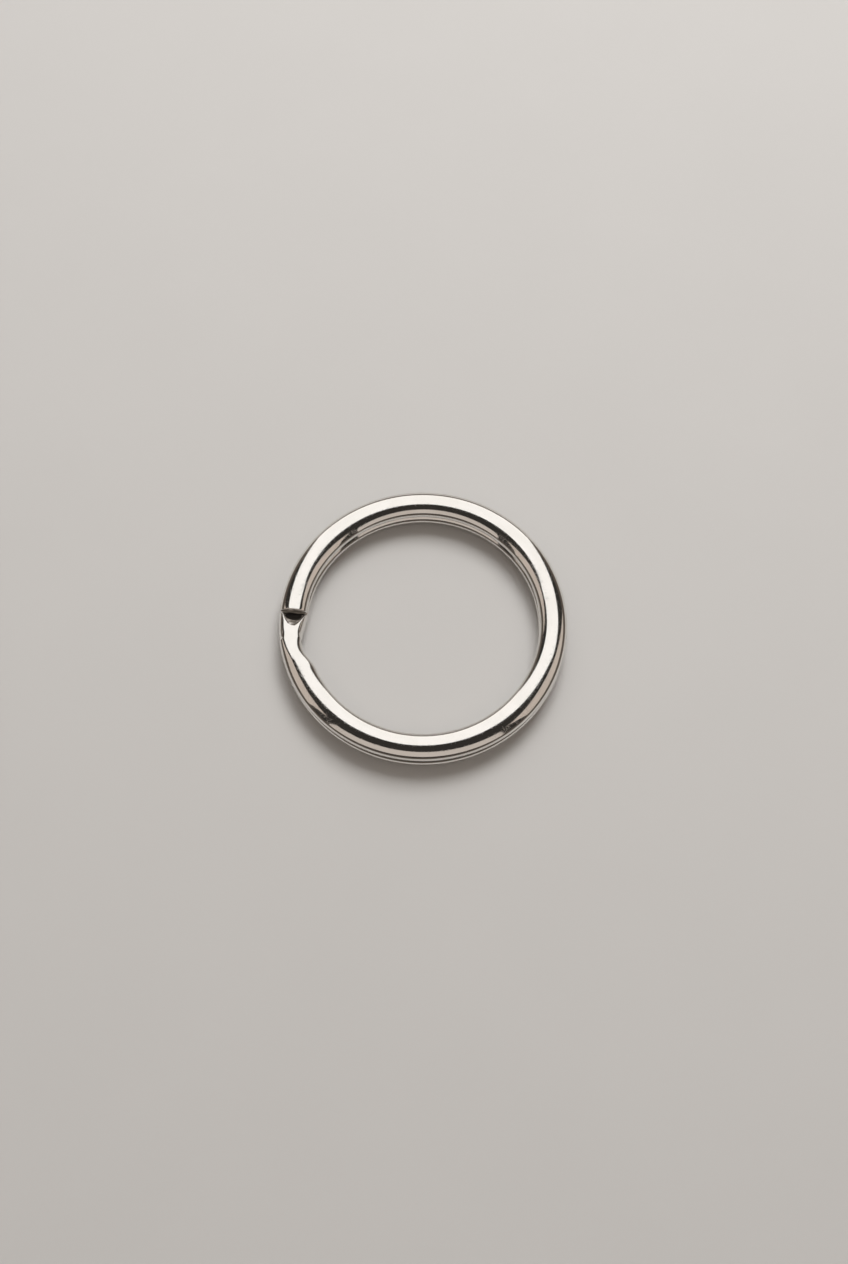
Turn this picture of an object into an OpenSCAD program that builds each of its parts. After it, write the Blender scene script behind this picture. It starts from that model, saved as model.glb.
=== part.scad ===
// Split ring: one flattened spring wire wound in two stacked turns, with a joggle
// where the wire climbs from the lower turn to the upper one.
// It lies flat with its axis along +Z. The origin is on that axis, in the plane it rests on.

/* [Ring] */
// Outside diameter of the wound ring, in mm
ring_d = 30; // [20:0.5:50]
// Gap between the crowns of the two turns, in mm
turn_gap = 0.06; // [0.03:0.01:0.3]

/* [Wire] */
// Width of the flattened wire, across the ring, in mm
wire_w = 2.85; // [1.8:0.05:4]
// Thickness of the flattened wire, along the ring's axis, in mm
wire_t = 1.4; // [0.8:0.05:2.2]
// Radius tumbled onto the edges of the two cut ends, in mm
end_edge = 0.22; // [0.05:0.01:0.3]

/* [Joggle] */
// Direction of the upper turn's cut end, in degrees from +X
upper_end_dir = 175; // [0:1:359]
// Length of wire between the upper turn's cut end and the lower turn's, in mm
joggle_len = 3.1; // [2:0.1:6]
// Length of the steep step that starts the climb, along its deepest line, in mm
step_len = 2; // [1.2:0.05:3]
// How far the step is dished, as the share of its length that its edges run ahead
step_dish = 1.3; // [0:0.05:1.5]
// How far the deepest line of the dish lies towards the bore, as a share of half the wire's width
dish_shift = 0.1; // [0:0.02:0.3]
// Length of the whole climb, the step and its gentler rest, in mm
climb_len = 5.5; // [3:0.1:8]
// Share of the climb's height left to its gentler rest
climb_share = 0.3; // [0:0.05:0.5]
// Length in which the wire narrows to the neck, in mm
neck_len = 4; // [2:0.1:6]
// Length in which the wire widens again, in mm
taper_len = 3; // [1:0.1:8]
// How far the inner edge of the neck stands back from the ring's bore, in mm
neck_inset = 0.66; // [0.1:0.02:1.2]
// How much squarer than an oval the wire is pressed at the step, 0 for an oval
neck_flat = 2.4; // [0:0.1:3]

/* [Hidden] */
// radius of the wire's centre line, and height from one turn to the next
mid_r = (ring_d - wire_w) / 2;
turn_rise = wire_t + turn_gap;
// directions along the wire, from the lower turn's cut end up to the upper turn's
foot = upper_end_dir;
tail = foot + arc_deg(joggle_len);
climb_head = foot + arc_deg(climb_len);
neck_head = foot + arc_deg(neck_len);
taper_head = neck_head + arc_deg(taper_len);
lower_end = tail - 360;
upper_end = foot + 360;
// where the underside of the lower turn starts to lift
lift_foot = min(foot - arc_deg(wire_t), foot + tail - climb_head);
// share of the step's length that is left at the wire's edges
edge_share = 0.12;
// fineness of the wire's section and of each stretch of its path
section_sides = 28;
end_steps = 3;
turn_steps = 62;
taper_steps = 14;
lift_steps = 10;
step_steps = 11;
joggle_steps = 14;
neck_steps = 16;

// angle that a length of wire takes up on the ring
function arc_deg(len) = len / mid_r * 180 / PI;

// a rise from 0 to 1 that starts and ends level
function ease(s) = s * s * (3 - 2 * s);

// how far along a stretch a direction lies, from 0 to 1
function along(a, from, to) = min(1, max(0, (a - from) / (to - from)));

// a power of a value's size, with the value's sign
function signed_pow(value, power) = sign(value) * pow(abs(value), power);

// direction of the step's head, at a place across the wire from -1 at the bore to 1 outside
function dished_head(side) =
    foot + arc_deg(step_len) * max(edge_share, 1 - step_dish * pow(side + dish_shift, 2));

// how far the wire's top has climbed in direction a, from 0 to 1
function climb(a, side) =
    (1 - climb_share) * ease(along(a, foot, dished_head(side)))
    + climb_share * ease(along(a, foot, climb_head));

// how far the wire is drawn out from the bore in direction a, on either turn, from 0 to 1
function inset_share(a) =
    let (d = a < foot ? a + 360 : a)
    ease(along(d, foot, neck_head)) * (1 - ease(along(d, neck_head, taper_head)));

// how far the wire is pressed square in direction a, from 0 to 1
function flat_share(a) = ease(along(a, lift_foot, foot)) * (1 - ease(along(a, foot, climb_head)));

// the wire's section in direction a, drawn in by a margin, as points round its edge
function section_at(a, margin) =
    let (
        power = 2 / (2 + neck_flat * flat_share(a)),
        half_w = (wire_w - neck_inset * inset_share(a)) / 2
    )
    [for (j = [0 : section_sides - 1])
        let (
            turn = 360 * j / section_sides,
            side = signed_pow(cos(turn), power),
            top = wire_t + turn_rise * climb(a, side),
            // the underside is the top turned end for end
            bottom = turn_rise * (1 - climb(foot + tail - a, side)),
            r = ring_d / 2 - half_w + (half_w - margin) * side,
            z = (top + bottom) / 2 + ((top - bottom) / 2 - margin) * signed_pow(sin(turn), power)
        )
        [r * cos(a), r * sin(a), z]];

// evenly spaced directions of a stretch, without its last one
function stretch(from, to, steps) = [for (i = [0 : steps - 1]) from + (to - from) * i / steps];

// sections round a cut end's tumbled edge, from its face inwards, on the side that way gives
function end_sections(end, way) =
    [for (i = [0 : end_steps - 1])
        let (turn = 90 * i / end_steps)
        section_at(end + way * arc_deg(end_edge * (1 - cos(turn))), end_edge * (1 - sin(turn)))];

// sections of the whole wire, in order from the lower cut end to the upper one
function wire_sections() =
    let (
        lower_start = lower_end + arc_deg(end_edge),
        lower_full = max(taper_head - 360, lower_start + arc_deg(wire_t)),
        steep = arc_deg(step_len) / 4,
        upper_stop = upper_end - arc_deg(end_edge),
        path = concat(
            stretch(lower_start, lower_full, taper_steps),
            stretch(lower_full, lift_foot, turn_steps),
            stretch(lift_foot, foot, lift_steps),
            stretch(foot, foot + steep, step_steps),
            stretch(foot + steep, tail - steep, joggle_steps),
            stretch(tail - steep, tail, step_steps),
            stretch(tail, taper_head, neck_steps),
            stretch(taper_head, upper_stop, turn_steps),
            [upper_stop]
        ),
        upper_tip = end_sections(upper_end, -1)
    )
    concat(
        end_sections(lower_end, 1),
        [for (a = path) section_at(a, 0)],
        [for (i = [end_steps - 1 : -1 : 0]) upper_tip[i]]
    );

module split_ring() {
    sections = wire_sections();
    last = len(sections) - 1;
    lower_face = [for (j = [section_sides - 1 : -1 : 0]) j];
    upper_face = [for (j = [0 : section_sides - 1]) last * section_sides + j];
    walls = [
        for (i = [0 : last - 1], j = [0 : section_sides - 1])
            let (
                k = (j + 1) % section_sides,
                p = i * section_sides,
                q = p + section_sides
            )
            each [[p + j, q + k, q + j], [p + j, p + k, q + k]]
    ];
    color([0.80, 0.78, 0.75])
        polyhedron(
            points = [for (s = sections) each s],
            faces = concat([lower_face, upper_face], walls)
        );
}

split_ring();
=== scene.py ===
import math

import bpy
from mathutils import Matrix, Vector


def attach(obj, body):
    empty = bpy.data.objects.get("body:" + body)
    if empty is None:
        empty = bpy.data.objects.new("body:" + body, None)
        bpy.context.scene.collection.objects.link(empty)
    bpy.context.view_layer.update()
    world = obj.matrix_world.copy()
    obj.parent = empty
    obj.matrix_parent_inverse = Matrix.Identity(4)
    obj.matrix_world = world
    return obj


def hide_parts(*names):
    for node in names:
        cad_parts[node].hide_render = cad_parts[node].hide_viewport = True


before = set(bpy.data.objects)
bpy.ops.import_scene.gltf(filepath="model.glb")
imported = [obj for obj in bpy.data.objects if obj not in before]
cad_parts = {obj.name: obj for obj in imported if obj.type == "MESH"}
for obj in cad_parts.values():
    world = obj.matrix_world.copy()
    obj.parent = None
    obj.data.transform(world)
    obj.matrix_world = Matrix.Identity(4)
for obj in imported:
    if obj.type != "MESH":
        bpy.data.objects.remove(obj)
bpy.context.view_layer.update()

FULL_TURN = 2 * math.pi
MICRON = 0.000001

# The ring's sizes, in metres and radians. They are those of the part's source, but for the edge of
# the cut ends, which is finer here.
RING_SIZES = {
    "Outside Diameter": 0.030,
    "Turn Gap": 0.00006,
    "Wire Width": 0.00285,
    "Wire Thickness": 0.0014,
    "End Edge": 0.00012,
    "Upper End Direction": math.radians(175),
    "Joggle Length": 0.0031,
    "Step Length": 0.0020,
    "Step Dish": 1.3,
    "Dish Shift": 0.1,
    "Climb Length": 0.0055,
    "Climb Share": 0.3,
    "Neck Length": 0.0040,
    "Taper Length": 0.0030,
    "Neck Inset": 0.00066,
    "Neck Flatness": 2.4,
}
# How finely each stretch of the wire is divided.
RING_STEPS = {
    "Section Sides": 72,
    "End Steps": 8,
    "Turn Steps": 330,
    "Taper Steps": 60,
    "Step Steps": 30,
}
# The share of the step's length that is left at the wire's edges.
STEP_EDGE_SHARE = 0.12
# How near the wire's tip its cut face starts, and the angle past the joggle in which the nip closes.
CUT_FACE_DEPTH = 0.00002
NIP_ONSET = 0.03

# The plate where it is cleanest and dullest, the steel under it, and the near-black grime and
# painted shade in the nip and the step's hollow.
NICKEL = (0.80, 0.775, 0.745)
DULL_NICKEL = (0.77, 0.745, 0.71)
TORN_STEEL = (0.13, 0.11, 0.092)
BRIGHT_STEEL_AND_PAINTED_HIGHLIGHT = (0.68, 0.625, 0.56)
GRIME_AND_PAINTED_SHADE = (0.03, 0.026, 0.022)
# Hairline scratches: the angle to the wire, and how many to a metre along, beside and up from it.
SCRATCHES = ((0.35, 700, 30000), (-0.8, 900, 26000), (1.35, 1000, 28000))
SCRATCHES_UP = 1500
# The painted highlight streak over a cut face, where its lower rim would catch the light: its
# height, its waver, and where it starts and ends to fade.
STREAK_HEIGHT = 0.00008
STREAK_WAVER = 0.0006
STREAK_FADE = (0.00008, 0.00026)

# The floor's two tones, its flecks to a metre, half its side, and from where to where it fades.
FLOOR_TONES = ((0.62, 0.61, 0.595), (0.64, 0.63, 0.615))
FLOOR_FLECKS = 60
FLOOR_HALF = 0.5
FLOOR_FADE = (0.08, 0.30)

# The light of the panels, and how far off they stand.
PANEL_DISTANCE = 0.6
CLEAR_LIGHT = (1.0, 0.985, 0.965)
WARM_LIGHT = (1.0, 0.90, 0.82)
AMBER_LIGHT = (1.0, 0.87, 0.77)
# The room from its foot to its ceiling, as the metal mirrors it, and the backdrop behind the floor.
ROOM_FOOT = (0.60, 0.58, 0.55)
ROOM_WALL = (0.11, 0.09, 0.075)
ROOM_CEILING = (0.035, 0.032, 0.029)
BACKDROP = (0.59, 0.571, 0.541)

# The photograph's frame, in pixels, and where the ring's middle lies in it.
PHOTO_W, PHOTO_H = 848, 1264
RING_AT = (422.9, 624.4)
PIXELS_PER_M = 9563.0
MIDDLE_HEIGHT = 0.0015
CAMERA_ELEVATION = math.radians(68.54)
CAMERA_DISTANCE = 0.145
SENSOR_WIDTH = 36.0
NEAREST_SEEN = 0.002


class Flow:
    """A number, vector or geometry that runs through a node tree, with sums written as sums."""

    def __init__(self, tree, socket):
        self.tree = tree
        self.socket = socket

    def calc(self, operation, *others):
        """What a maths node makes of the flow and the other values."""
        return put(self.tree, "ShaderNodeMath", enumerate((self, *others)), operation=operation)

    def __add__(self, other):
        return self.calc("ADD", other)

    def __sub__(self, other):
        return self.calc("SUBTRACT", other)

    def __rsub__(self, other):
        return self * -1.0 + other

    def __mul__(self, other):
        return self.calc("MULTIPLY", other)

    def __truediv__(self, other):
        return self.calc("DIVIDE", other)

    def ramp(self, low, high, to_low=0.0, to_high=1.0, smooth=True):
        """A rise from to_low to to_high as the flow goes from low to high, level outside them."""
        limits = enumerate((self, low, high, to_low, to_high))
        kind = "SMOOTHSTEP" if smooth else "LINEAR"
        return put(self.tree, "ShaderNodeMapRange", limits, interpolation_type=kind)


def feed(tree, socket, value):
    """Links a flow to a socket, or writes a plain value on it."""
    if isinstance(value, Flow):
        tree.links.new(value.socket, socket)
    else:
        socket.default_value = value


def put(tree, kind, inputs=(), output=0, **settings):
    """A new node with its settings and inputs set, as the flow that leaves one of its outputs."""
    node = tree.nodes.new(kind)
    for name, value in settings.items():
        setattr(node, name, value)
    for name, value in dict(inputs).items():
        feed(tree, node.inputs[name], value)
    return Flow(tree, node.outputs[output])


def vector(tree, x, y, z):
    """A vector put together from its three parts."""
    return put(tree, "ShaderNodeCombineXYZ", {"X": x, "Y": y, "Z": z})


def stretched(tree, value, x, y, z):
    """A vector with its three parts multiplied by plain numbers."""
    return put(tree, "ShaderNodeVectorMath", {0: value, 1: (x, y, z)}, operation="MULTIPLY")


def turned(tree, value, angle):
    """A vector turned about its third axis."""
    return put(tree, "ShaderNodeVectorRotate", {"Vector": value, "Angle": angle},
               rotation_type="Z_AXIS")


def signed_power(value, power):
    """A power of the value's size, with the value's sign."""
    return value.calc("ABSOLUTE").calc("POWER", power) * value.calc("SIGN")


def keep_value(tree, geometry, name, value, data_type="FLOAT"):
    """The geometry with a value stored on its points under a name."""
    return put(tree, "GeometryNodeStoreNamedAttribute",
               {"Geometry": geometry, "Name": name, "Value": value},
               data_type=data_type, domain="POINT")


def kept_value(tree, name):
    """The number that was stored on the points under a name."""
    return put(tree, "GeometryNodeInputNamedAttribute", {"Name": name}, "Attribute",
               data_type="FLOAT")


def noise(tree, where, detail=2.0, rough=0.5):
    """A noise between 0 and 1 with features about one unit across."""
    return put(tree, "ShaderNodeTexNoise",
               {"Vector": where, "Scale": 1.0, "Detail": detail, "Roughness": rough})


def blend_colour(tree, share, first, second):
    """A colour between two others, each a flow or a plain colour."""
    ends = [c if isinstance(c, Flow) else (*c, 1.0) for c in (first, second)]
    # the mix node's colours come after its plain numbers and vectors
    return put(tree, "ShaderNodeMix", {0: share, 6: ends[0], 7: ends[1]}, 2, data_type="RGBA")


def place_in_scene(name, data):
    """A new object that stands in the scene."""
    piece = bpy.data.objects.new(name, data)
    bpy.context.scene.collection.objects.link(piece)
    return piece


class WireMarks:
    """The wire's radii and the directions along it, from the lower cut end to the upper."""

    def __init__(self, size):
        self.outside_r = size["Outside Diameter"] * 0.5
        self.mid_r = self.outside_r - size["Wire Width"] * 0.5
        # the joggle lies between the two cut ends, from its foot to its tail
        self.foot = size["Upper End Direction"]
        self.tail = self.foot + size["Joggle Length"] / self.mid_r
        self.climb_head = self.foot + size["Climb Length"] / self.mid_r
        self.lift_foot = self.foot + self.tail - self.climb_head
        self.neck_head = self.foot + size["Neck Length"] / self.mid_r
        self.taper_head = self.neck_head + size["Taper Length"] / self.mid_r
        self.lower_end = self.tail - FULL_TURN
        self.upper_end = self.foot + FULL_TURN
        # lengths of wire, as angles too
        self.step_turn = size["Step Length"] / self.mid_r
        self.edge_turn = size["End Edge"] / self.mid_r


def straight_tube(tree, size, marks):
    """A tube with one ring of points to each section, before it is bent into the wire."""
    # each section keeps its direction round the ring; they lie closest where a step bends sharpest
    steep = marks.step_turn * 0.25
    stretches = [
        (marks.lower_end + marks.edge_turn, "End Steps"),
        (marks.taper_head - FULL_TURN, "Taper Steps"),
        (marks.lift_foot, "Turn Steps"),
        (marks.foot, "Step Steps"),
        (marks.foot + steep, "Step Steps"),
        (marks.tail - steep, "Step Steps"),
        (marks.tail, "Step Steps"),
        (marks.taper_head, "Taper Steps"),
        (marks.upper_end - marks.edge_turn, "Turn Steps"),
        (marks.upper_end, "End Steps"),
    ]
    index = put(tree, "GeometryNodeInputIndex")
    direction = marks.lower_end
    start = marks.lower_end
    passed = 0.0
    for stop, steps in stretches:
        reached = size[steps] + passed
        direction = direction + index.ramp(passed, reached, 0.0, stop - start, smooth=False)
        start = stop
        passed = reached
    line = put(tree, "GeometryNodeCurvePrimitiveLine")
    path = put(tree, "GeometryNodeResampleCurve", {"Curve": line, "Count": passed + 1.0},
               mode="COUNT")
    path = keep_value(tree, path, "direction", direction)

    # each point keeps its own turn round the section
    circle = put(tree, "GeometryNodeCurvePrimitiveCircle", {"Resolution": size["Section Sides"]})
    share = put(tree, "GeometryNodeSplineParameter", output="Factor")
    circle = keep_value(tree, circle, "round", share * FULL_TURN)
    return put(tree, "GeometryNodeCurveToMesh",
               {"Curve": path, "Profile Curve": circle, "Fill Caps": True})


class WireSection:
    """The wire's section in each direction: an oval, with the place of every point on it."""

    def __init__(self, tree, size, marks):
        self.direction = kept_value(tree, "direction")
        a = self.direction
        turn = kept_value(tree, "round")

        # the oval, pressed squarer at the step
        flat = (a.ramp(marks.lift_foot, marks.foot)
                * a.ramp(marks.foot, marks.climb_head, 1.0, 0.0))
        power = (flat * size["Neck Flatness"] + 2.0).calc("POWER", -1.0) * 2.0
        self.side = signed_power(turn.calc("COSINE"), power)
        self.rise = signed_power(turn.calc("SINE"), power)

        # its width, drawn out from the bore along the neck
        on_ring = a + a.calc("LESS_THAN", marks.foot) * FULL_TURN
        inset = (on_ring.ramp(marks.foot, marks.neck_head)
                 * on_ring.ramp(marks.neck_head, marks.taper_head, 1.0, 0.0))
        half_w = (size["Wire Width"] - size["Neck Inset"] * inset) * 0.5

        # its top, and its underside, which is the top turned end for end
        self.level = self.climb(size, marks, a)
        under = 1.0 - self.climb(size, marks, marks.foot + marks.tail - a)
        wire_t = size["Wire Thickness"]
        turn_rise = wire_t + size["Turn Gap"]
        top = wire_t + turn_rise * self.level
        bottom = turn_rise * under

        # the cut ends, rounded over by the tumbling
        edge = size["End Edge"]
        self.end_near = (a - marks.lower_end).calc("MINIMUM", marks.upper_end - a) * marks.mid_r
        into_edge = self.end_near.ramp(0.0, edge, 1.0, 0.0, smooth=False)
        margin = edge - edge * (1.0 - into_edge * into_edge).calc("SQRT")

        # the point's place on the ring, and on the wire laid out straight
        across = (half_w - margin) * self.side
        upright = ((top - bottom) * 0.5 - margin) * self.rise
        r = marks.outside_r - half_w + across
        z = (top + bottom) * 0.5 + upright
        self.place = vector(tree, r * a.calc("COSINE"), r * a.calc("SINE"), z)
        self.laid_out = vector(tree, (a - marks.lower_end) * marks.mid_r, across, upright)

    def climb(self, size, marks, at):
        """How far the wire's top has climbed in a direction: a dished step, then a gentle rest."""
        dish = (self.side + size["Dish Shift"]).calc("POWER", 2.0) * size["Step Dish"]
        step = marks.step_turn * (1.0 - dish).calc("MAXIMUM", STEP_EDGE_SHARE)
        rest = size["Climb Share"]
        return (at.ramp(marks.foot, marks.foot + step) * (1.0 - rest)
                + at.ramp(marks.foot, marks.climb_head) * rest)

    def sheared(self, marks):
        """How far a point is bare torn steel: on the cut faces and on the foot of the step."""
        cut_face = self.end_near.ramp(0.0, CUT_FACE_DEPTH, 1.0, 0.0)
        return cut_face.calc("MAXIMUM", self.on_step(marks) * self.level.ramp(0.5, 0.66, 1.0, 0.0))

    def nip(self, marks):
        """How far a point lies in the nip between the turns, or in the hollow of the step, where
        grime and painted shade darken the plate.
        """
        a = self.direction
        facing = self.rise * (1.0 - self.level * 2.0)
        covered = a.ramp(marks.tail, marks.tail + NIP_ONSET)
        covered = covered.calc("MAXIMUM", a.calc("LESS_THAN", marks.foot))
        middle = self.side.calc("ABSOLUTE").ramp(0.45, 0.75, 1.0, 0.0)
        hollow = self.on_step(marks) * middle * self.level.ramp(0.1, 0.45, 1.0, 0.0)
        return (facing * covered).ramp(0.7, 1.0, 0.0, 0.8).calc("MAXIMUM", hollow)

    def on_step(self, marks):
        """1 on the upper side of the wire past the step's foot."""
        return self.direction.calc("GREATER_THAN", marks.foot) * self.rise.ramp(0.0, 0.5)


def wound_wire_tree():
    """The tree that sweeps the flat wire along two turns and the joggle between them."""
    tree = bpy.data.node_groups.new("wound_wire", "GeometryNodeTree")
    sockets = tree.interface
    sockets.new_socket("Geometry", in_out="OUTPUT", socket_type="NodeSocketGeometry")
    for kind, values in (("NodeSocketFloat", RING_SIZES), ("NodeSocketInt", RING_STEPS)):
        for name, value in values.items():
            socket = sockets.new_socket(name, in_out="INPUT", socket_type=kind)
            socket.default_value = value
    sockets.new_socket("Plate", in_out="INPUT", socket_type="NodeSocketMaterial")
    entry = tree.nodes.new("NodeGroupInput")
    size = {s.name: Flow(tree, s) for s in entry.outputs if s.name}

    marks = WireMarks(size)
    section = WireSection(tree, size, marks)
    wire = straight_tube(tree, size, marks)
    wire = keep_value(tree, wire, "laid_out", section.laid_out, "FLOAT_VECTOR")
    wire = keep_value(tree, wire, "sheared", section.sheared(marks))
    wire = keep_value(tree, wire, "nip", section.nip(marks))
    wire = put(tree, "GeometryNodeSetPosition", {"Geometry": wire, "Position": section.place})

    # the section runs round the other way than the line's own, so the faces are turned outwards
    wire = put(tree, "GeometryNodeFlipFaces", {"Mesh": wire})

    # round walls have four corners to a face and are shaded smooth, the two cut faces flat
    corners = put(tree, "GeometryNodeInputMeshFaceNeighbors", output="Vertex Count")
    wall = corners.calc("LESS_THAN", 5.0)
    wire = put(tree, "GeometryNodeSetShadeSmooth", {"Geometry": wire, "Shade Smooth": wall})
    wire = put(tree, "GeometryNodeRealizeInstances", {"Geometry": wire})
    wire = put(tree, "GeometryNodeSetMaterial", {"Geometry": wire, "Material": size["Plate"]})
    leave = tree.nodes.new("NodeGroupOutput")
    feed(tree, leave.inputs["Geometry"], wire)
    return tree


def wound_wire(name, plate):
    """The ring's wire as a plain mesh piece."""
    piece = place_in_scene(name, bpy.data.meshes.new(name))
    sweep = piece.modifiers.new("sweep", "NODES")
    sweep.node_group = wound_wire_tree()
    values = {**RING_SIZES, **RING_STEPS, "Plate": plate}
    for item in sweep.node_group.interface.items_tree:
        if item.in_out == "INPUT":
            sweep[item.identifier] = values[item.name]
    depsgraph = bpy.context.evaluated_depsgraph_get()
    made = bpy.data.meshes.new_from_object(
        piece.evaluated_get(depsgraph), preserve_all_data_layers=True, depsgraph=depsgraph)
    piece.modifiers.remove(sweep)
    piece.data = made
    made.name = name
    return piece


def node_material(name):
    """A new material, with its node tree and its shader."""
    material = bpy.data.materials.new(name)
    material.use_nodes = True
    tree = material.node_tree
    return material, tree, tree.nodes["Principled BSDF"]


def nickel_plate():
    """Bright nickel over drawn and tumbled spring wire."""
    material, tree, shader = node_material("nickel_plate")
    shader.inputs["IOR"].default_value = 2.0

    def on_wire(name, kind):
        return put(tree, "ShaderNodeAttribute", output=kind, attribute_name=name)

    def grain(along, across, up, **looks):
        """A noise with so many features to a metre along the wire, across it and up it."""
        return noise(tree, stretched(tree, laid_out, along, across, up), **looks)

    laid_out = on_wire("laid_out", "Vector")
    sheared = on_wire("sheared", "Fac")
    nip = on_wire("nip", "Fac")

    # lines left by drawing and rolling, the soft ripple of the plate, and hairline scratches
    drawn = grain(110, 9000, 9000)
    ripple = grain(1500, 2200, 2200, detail=1.0)
    cloud = grain(420, 700, 700, detail=3.0)
    scratches = 0.0
    for angle, along, beside in SCRATCHES:
        way = stretched(tree, turned(tree, laid_out, angle), along, beside, SCRATCHES_UP)
        line = noise(tree, way, detail=0.0).ramp(0.70, 0.76)
        scratches = line.calc("MAXIMUM", scratches)

    # torn metal on the cut faces and the step, lighter in random flecks, with a painted highlight
    # streak across the faces
    torn = grain(3200, 1300, 4600, detail=4.0, rough=0.6)
    upright = put(tree, "ShaderNodeSeparateXYZ", {"Vector": laid_out}, "Z")
    off_streak = (upright + torn * STREAK_WAVER - STREAK_HEIGHT).calc("ABSOLUTE")
    bright = torn.ramp(0.4, 0.65).calc("MAXIMUM", off_streak.ramp(*STREAK_FADE, 1.0, 0.0))
    steel = blend_colour(tree, bright, TORN_STEEL, BRIGHT_STEEL_AND_PAINTED_HIGHLIGHT)

    # grime and painted shade: the nip between the turns and the step's hollow are darkened almost to
    # black, where shade falls
    grime_and_painted_shade = (nip + cloud * 0.2).ramp(0.45, 0.8)
    colour = blend_colour(tree, cloud.ramp(0.35, 0.7), NICKEL, DULL_NICKEL)
    colour = blend_colour(tree, sheared, colour, steel)
    colour = blend_colour(tree, grime_and_painted_shade * 0.95, colour, GRIME_AND_PAINTED_SHADE)
    feed(tree, shader.inputs["Base Color"], colour)

    roughness = cloud.ramp(0.3, 0.75, 0.035, 0.065) + scratches * 0.08 + grime_and_painted_shade * 0.25
    roughness = roughness + sheared * torn.ramp(0.2, 0.8, 0.4, 0.6)
    feed(tree, shader.inputs["Roughness"], roughness)
    feed(tree, shader.inputs["Metallic"], 1.0 - sheared * 0.7)

    # the heights are in microns
    height = drawn * 0.35 + ripple * 0.8 - scratches * 0.5 + sheared * torn * 100.0
    bump = put(tree, "ShaderNodeBump", {"Strength": 1.0, "Distance": MICRON, "Height": height})
    feed(tree, shader.inputs["Normal"], bump)
    return material


def pale_floor():
    """A plain floor that fades into the backdrop away from the ring."""
    material, tree, shader = node_material("pale_floor")
    place = put(tree, "ShaderNodeTexCoord", output="Object")
    tone = noise(tree, stretched(tree, place, FLOOR_FLECKS, FLOOR_FLECKS, FLOOR_FLECKS))
    feed(tree, shader.inputs["Base Color"], blend_colour(tree, tone, *FLOOR_TONES))
    shader.inputs["Roughness"].default_value = 0.8
    shader.inputs["Specular IOR Level"].default_value = 0.2
    away = put(tree, "ShaderNodeVectorMath", {0: place}, "Value", operation="LENGTH")
    feed(tree, shader.inputs["Alpha"], away.ramp(*FLOOR_FADE, 1.0, 0.0))
    mesh = bpy.data.meshes.new("floor")
    corners = [(x * FLOOR_HALF, y * FLOOR_HALF, 0) for x, y in ((-1, -1), (1, -1), (1, 1), (-1, 1))]
    mesh.from_pydata(corners, [], [(0, 1, 2, 3)])
    mesh.materials.append(material)
    return place_in_scene("floor", mesh)


def panel(name, azimuth, half_width, low, high, lean, radiance, colour):
    """A soft panel that faces the ring, with its place, its sides and its edges as degrees."""
    bottom, top = (PANEL_DISTANCE * math.tan(math.radians(e - lean)) for e in (low, high))
    lamp = bpy.data.lights.new(name, "AREA")
    lamp.shape = "RECTANGLE"
    lamp.size = 2 * PANEL_DISTANCE * math.tan(math.radians(half_width))
    lamp.size_y = top - bottom
    lamp.energy = radiance * math.pi * lamp.size * lamp.size_y
    lamp.color = colour
    a, tilt = math.radians(azimuth), math.radians(lean)
    way = Vector((math.cos(a) * math.cos(tilt), math.sin(a) * math.cos(tilt), math.sin(tilt)))
    up = Vector((-math.cos(a) * math.sin(tilt), -math.sin(a) * math.sin(tilt), math.cos(tilt)))
    stand = place_in_scene(name, lamp)
    stand.location = way * PANEL_DISTANCE + up * ((bottom + top) / 2)
    stand.rotation_euler = way.to_track_quat("Z", "Y").to_euler()
    stand.visible_camera = False


def shadow_lamp():
    """A small lamp behind the ring that casts its shadow and isn't mirrored in it."""
    lamp = bpy.data.lights.new("shadow_lamp", "AREA")
    lamp.size = 0.25
    lamp.energy = 1.55
    stand = place_in_scene("shadow_lamp", lamp)
    stand.location = (0.085, 0.31, 0.385)
    stand.rotation_euler = stand.location.to_track_quat("Z", "Y").to_euler()
    stand.visible_camera = False
    stand.visible_glossy = False


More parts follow.
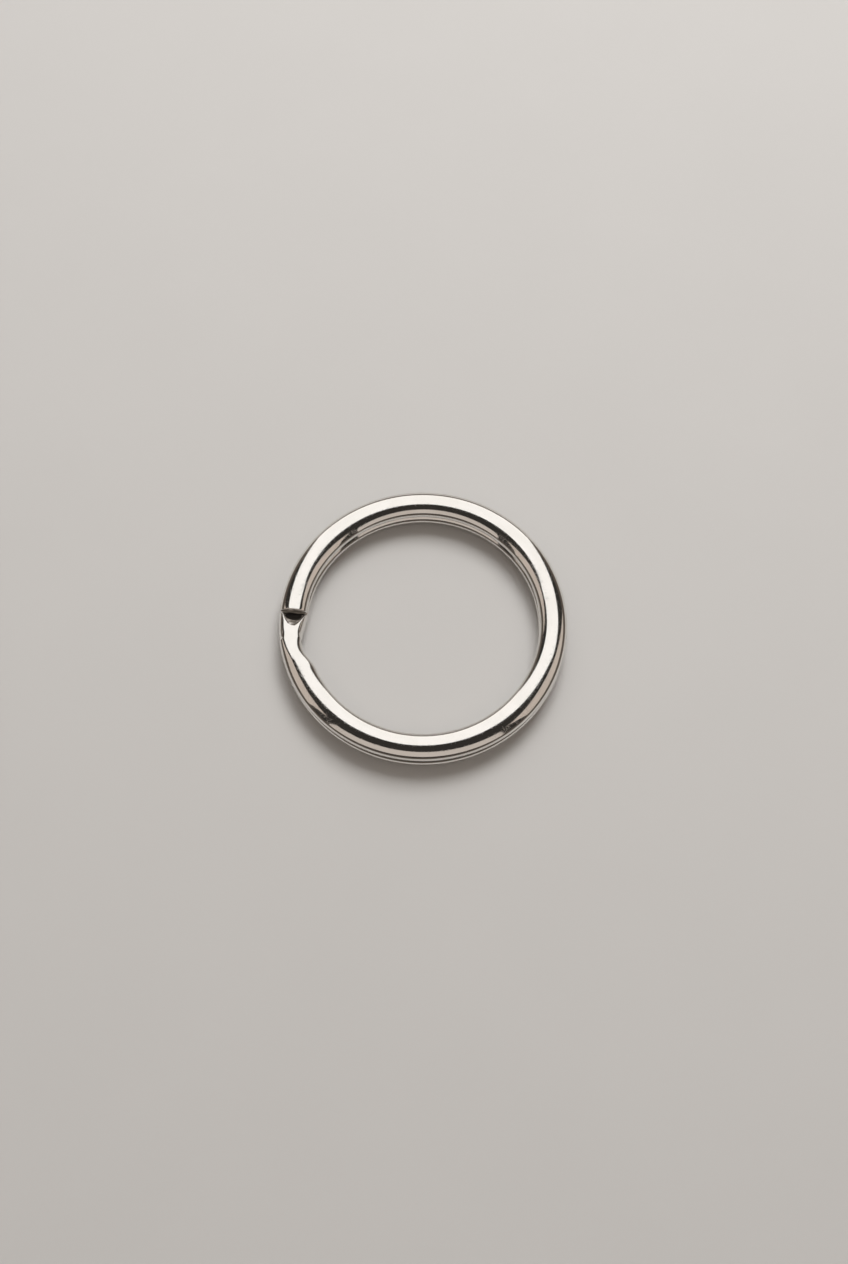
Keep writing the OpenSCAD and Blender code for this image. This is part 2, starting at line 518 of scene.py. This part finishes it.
def dim_room():
    """A room that is pale at its foot and dark above, behind a pale backdrop."""
    world = bpy.data.worlds.new("room")
    world.use_nodes = True
    tree = world.node_tree
    way = put(tree, "ShaderNodeTexCoord", output="Generated")
    up = put(tree, "ShaderNodeSeparateXYZ", {"Vector": way}, "Z")
    room = blend_colour(tree, up.ramp(0.42, 0.58), ROOM_WALL, ROOM_CEILING)
    room = blend_colour(tree, up.ramp(0.03, 0.26), ROOM_FOOT, room)
    seen = put(tree, "ShaderNodeLightPath", output="Is Camera Ray")
    feed(tree, tree.nodes["Background"].inputs["Color"], blend_colour(tree, seen, room, BACKDROP))
    bpy.context.scene.world = world


def studio():
    """A bright panel and a lamp behind the ring, three dimmer panels round it, and a dim room."""
    panel("back_panel", 89.5, half_width=31.6, low=20, high=73.5, lean=20,
          radiance=1.16, colour=CLEAR_LIGHT)
    panel("front_panel", 265.5, half_width=47.4, low=43, high=77, lean=11,
          radiance=0.58, colour=WARM_LIGHT)
    panel("left_panel", 172, half_width=30, low=35, high=66.5, lean=-12,
          radiance=0.58, colour=AMBER_LIGHT)
    panel("right_panel", 1, half_width=30, low=33, high=67, lean=-8,
          radiance=0.58, colour=AMBER_LIGHT)
    shadow_lamp()
    dim_room()


def photo_camera():
    """A camera that puts the ring where the photograph has it."""
    middle = Vector((0, 0, MIDDLE_HEIGHT))
    back = Vector((0, -math.cos(CAMERA_ELEVATION), math.sin(CAMERA_ELEVATION)))
    right = Vector((1, 0, 0))
    up = back.cross(right)
    aim = (middle + right * ((PHOTO_W / 2 - RING_AT[0]) / PIXELS_PER_M)
           - up * ((PHOTO_H / 2 - RING_AT[1]) / PIXELS_PER_M))
    lens = bpy.data.cameras.new("camera")
    lens.sensor_width = SENSOR_WIDTH
    # the sensor's width spans the frame's longer side
    lens.lens = PIXELS_PER_M * CAMERA_DISTANCE * SENSOR_WIDTH / PHOTO_H
    lens.clip_start = NEAREST_SEEN
    camera = place_in_scene("camera", lens)
    camera.location = middle + back * CAMERA_DISTANCE
    camera.rotation_mode = "QUATERNION"
    camera.rotation_quaternion = (aim - camera.location).to_track_quat("-Z", "Y")
    bpy.context.scene.camera = camera


bpy.context.scene.view_settings.view_transform = "Standard"
photo_camera()
studio()
pale_floor()

ring = wound_wire("ring_wire", nickel_plate())
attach(ring, "root")
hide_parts("split_ring")
